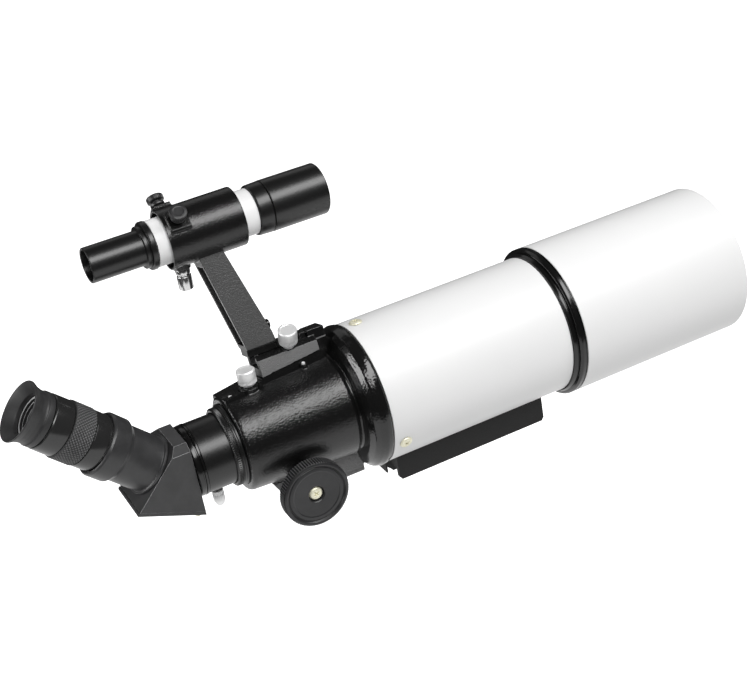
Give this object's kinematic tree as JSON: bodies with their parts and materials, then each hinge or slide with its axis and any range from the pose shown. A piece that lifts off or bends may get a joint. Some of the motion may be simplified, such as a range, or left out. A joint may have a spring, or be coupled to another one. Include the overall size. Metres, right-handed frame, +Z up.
{
  "type": "refractor telescope tube",
  "caption": "Small refractor telescope tube with sliding dew shield, rack focuser, erecting diagonal, push-fit eyepiece and a tilting finder on a dovetail bracket.",
  "frame": {"origin": "middle of the dovetail bar's underside, between its two tripod threads", "axes": "+X along the optical axis towards the objective, +Y to the telescope's left, +Z up"},
  "size_m": [0.4719, 0.1057, 0.206],
  "materials": {
    "white_enamel": "smooth gloss white enamel",
    "black_enamel": "black textured gloss paint on cast metal",
    "satin_black": "satin black anodised",
    "matt_black": "matt black moulded plastic",
    "black_rubber": "soft black rubber",
    "bright_aluminium": "bright turned and knurled",
    "chrome_plate": "polished chrome",
    "pale_brass": "pale plated screw",
    "coated_glass": "clear coated optical glass",
    "plain_steel": "plain machined steel"
  },
  "bodies": {
    "tube": {"lens_cell": "black_enamel", "flint_lens": "coated_glass", "crown_lens": "coated_glass", "lens_retaining_ring": "black_enamel", "main_tube": "white_enamel", "light_baffle": "matt_black", "tube_screw_1": "pale_brass", "tube_screw_2": "pale_brass", "tube_screw_3": "pale_brass", "dovetail_bar": "satin_black", "bar_screw_rear": "plain_steel", "bar_screw_front": "plain_steel", "focuser_body": "black_enamel", "drawtube_liner": "matt_black", "barrel_end_ring": "satin_black", "pinion_cover": "black_enamel", "cover_screw_1": "plain_steel", "cover_screw_2": "plain_steel", "tension_screw_1": "bright_aluminium", "tension_screw_2": "bright_aluminium", "finder_shoe": "black_enamel"},
    "dew_shield": {"dew_shield": "white_enamel"},
    "drawtube_lock_screw": {"drawtube_lock_screw": "bright_aluminium"},
    "drawtube": {"drawtube": "satin_black", "rack": "plain_steel", "eyepiece_adapter": "satin_black"},
    "adapter_thumb_screw": {"adapter_thumb_screw": "bright_aluminium"},
    "pinion": {"pinion_shaft": "plain_steel", "focus_knob_right": "matt_black", "focus_knob_left": "matt_black", "knob_screw_right": "pale_brass", "knob_screw_left": "pale_brass"},
    "diagonal": {"diagonal_body": "matt_black", "diagonal_cover": "matt_black", "erecting_prism": "coated_glass", "diagonal_nose": "chrome_plate", "diagonal_screw_1": "pale_brass", "diagonal_screw_2": "pale_brass", "diagonal_eyepiece_tube": "matt_black"},
    "eyepiece_thumb_screw": {"eyepiece_thumb_screw": "bright_aluminium"},
    "eyepiece": {"eyepiece_barrel": "chrome_plate", "eyepiece_body": "satin_black", "eyepiece_grip": "black_rubber", "field_lens": "coated_glass", "eye_lens": "coated_glass", "eyecup": "black_rubber"},
    "finder_bracket": {"finder_bracket": "black_enamel", "plunger_housing": "chrome_plate"},
    "finder_clamp_screw": {"finder_clamp_screw": "bright_aluminium"},
    "adjuster_screw_top": {"adjuster_screw_top": "matt_black"},
    "adjuster_screw_side": {"adjuster_screw_side": "matt_black"},
    "plunger_pin": {"plunger_pin": "chrome_plate"},
    "finder_gimbal": {"finder_o_ring": "black_rubber"},
    "finder": {"finder_tube": "white_enamel", "finder_eyepiece": "satin_black", "finder_eye_lens": "coated_glass"},
    "finder_lock_ring": {"finder_lock_ring": "satin_black"},
    "finder_cell": {"finder_cell": "satin_black", "finder_objective": "coated_glass"}
  },
  "joints": [
    {"name": "dew_shield_slide", "type": "slide", "parent": "tube", "child": "dew_shield", "axis": [1, 0, 0], "range_m": [0, 0.02]},
    {"name": "drawtube_slide", "type": "slide", "parent": "tube", "child": "drawtube", "axis": [-1, 0, 0], "range_m": [-0.005, 0.06]},
    {"name": "focus_turn", "type": "hinge", "parent": "tube", "child": "pinion", "pos_m": [-0.1161, 0, 0.0293], "axis": [0, -1, 0], "range_deg": [-55, 650]},
    {"name": "drawtube_lock_screw_turn", "type": "hinge", "parent": "tube", "child": "drawtube_lock_screw", "pos_m": [-0.1292, 0, 0.0911], "axis": [0, 0, 1], "range_deg": [-45, 1080]},
    {"name": "adapter_thumb_screw_turn", "type": "hinge", "parent": "drawtube", "child": "adapter_thumb_screw", "pos_m": [-0.163, 0, 0.0322], "axis": [0, 0, -1], "range_deg": [-45, 1080]},
    {"name": "diagonal_turn", "type": "hinge", "parent": "drawtube", "child": "diagonal", "pos_m": [-0.16, 0, 0.0575], "axis": [1, 0, 0], "continuous": true},
    {"name": "eyepiece_thumb_screw_turn", "type": "hinge", "parent": "diagonal", "child": "eyepiece_thumb_screw", "pos_m": [-0.22035, 0.0196, 0.08685], "axis": [0, 1, 0], "range_deg": [-45, 1080]},
    {"name": "eyepiece_slide", "type": "slide", "parent": "diagonal", "child": "eyepiece", "axis": [-0.7071, 0, 0.7071], "range_m": [0, 0.022]},
    {"name": "finder_bracket_slide", "type": "slide", "parent": "tube", "child": "finder_bracket", "axis": [-1, 0, 0], "range_m": [0, 0.006]},
    {"name": "finder_clamp_screw_turn", "type": "hinge", "parent": "tube", "child": "finder_clamp_screw", "pos_m": [-0.098, 0.00512, 0.10365], "axis": [0, -0.309, 0.9511], "range_deg": [-45, 1080]},
    {"name": "adjuster_screw_top_turn", "type": "hinge", "parent": "finder_bracket", "child": "adjuster_screw_top", "pos_m": [-0.1435, 0.03323, 0.18152], "axis": [0, 0.7071, 0.7071], "range_deg": [-45, 1080]},
    {"name": "adjuster_screw_side_turn", "type": "hinge", "parent": "finder_bracket", "child": "adjuster_screw_side", "pos_m": [-0.1415, 0.03323, 0.18152], "axis": [0, -0.6428, 0.766], "range_deg": [-45, 1080]},
    {"name": "plunger_slide", "type": "slide", "parent": "finder_bracket", "child": "plunger_pin", "axis": [0, 0, -1], "range_m": [0, 0.003], "stiffness_N_per_m": 500, "springref_m": -0.002},
    {"name": "finder_pan", "type": "hinge", "parent": "finder_bracket", "child": "finder_gimbal", "pos_m": [-0.106, 0.03323, 0.18152], "axis": [0, 0.2588, 0.9659], "range_deg": [-4.2, 0.3]},
    {"name": "finder_tilt", "type": "hinge", "parent": "finder_gimbal", "child": "finder", "pos_m": [-0.106, 0.03323, 0.18152], "axis": [0, 0.9659, -0.2588], "range_deg": [-1.5, 0.3]},
    {"name": "finder_lock_ring_turn", "type": "hinge", "parent": "finder", "child": "finder_lock_ring", "pos_m": [-0.09002, 0.03389, 0.18118], "axis": [0.9989, 0.0411, -0.0218], "range_deg": [-10, 360]},
    {"name": "finder_focus", "type": "slide", "parent": "finder", "child": "finder_cell", "axis": [0.9989, 0.0411, -0.0218], "range_m": [0, 0.004]}
  ],
  "couplings": [
    {"joint": "focus_turn", "follows": "drawtube_slide", "rad_per_m": 188.68}
  ]
}
